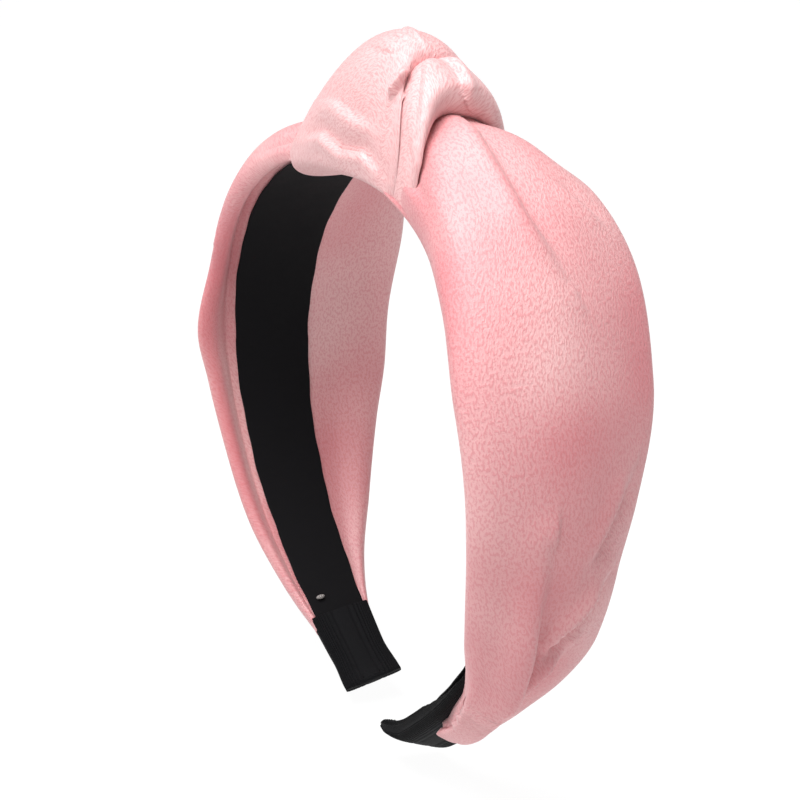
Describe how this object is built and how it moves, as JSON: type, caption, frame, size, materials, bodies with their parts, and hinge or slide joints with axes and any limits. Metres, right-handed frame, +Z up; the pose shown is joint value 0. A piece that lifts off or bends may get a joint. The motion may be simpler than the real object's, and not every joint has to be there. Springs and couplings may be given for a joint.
{
  "type": "knotted headband",
  "caption": "Knotted satin headband: a flexible moulded hoop in gathered satin sleeves, with a knot at the crown, a black lining and ribbon-capped tips.",
  "frame": {"origin": "the middle of the lining's inner face at the crown, where the head carries the band", "axes": "+Z up out of the head at the crown, -Y towards the forehead, +X towards the leg on the knot's tucked side"},
  "size_m": [0.1646, 0.0533, 0.1795],
  "materials": {
    "core_plastic": "moulded, hidden inside the sleeves",
    "clear_tape": "double-sided adhesive tape",
    "black_lining": "matt black felted lining",
    "pink_satin": "soft sheen, fine crepe grain",
    "black_ribbon": "ribbed grosgrain",
    "tack_thread": "sewing thread"
  },
  "bodies": {
    "crown": {"band_core": "core_plastic", "lining_tape": "clear_tape", "lining_strip": "black_lining", "knot_wrap": "pink_satin", "knot_tuck": "pink_satin"},
    "leg_left": {"sleeve_left": "pink_satin", "end_cap_left": "black_ribbon", "cap_tack_left": "tack_thread"},
    "leg_right": {"sleeve_right": "pink_satin", "end_cap_right": "black_ribbon", "cap_tack_right": "tack_thread"}
  },
  "joints": [
    {"name": "left_flex", "type": "hinge", "parent": "crown", "child": "leg_left", "pos_m": [-0.03691, 0.00015, -0.00502], "axis": [0, 1, 0], "range_deg": [-4, 18], "stiffness_Nm_per_rad": 0.7, "deforming": ["band_core", "lining_tape", "lining_strip"]},
    {"name": "right_flex", "type": "hinge", "parent": "crown", "child": "leg_right", "pos_m": [0.03691, -0.00015, -0.00502], "axis": [0, -1, 0], "range_deg": [-4, 18], "stiffness_Nm_per_rad": 0.7}
  ]
}
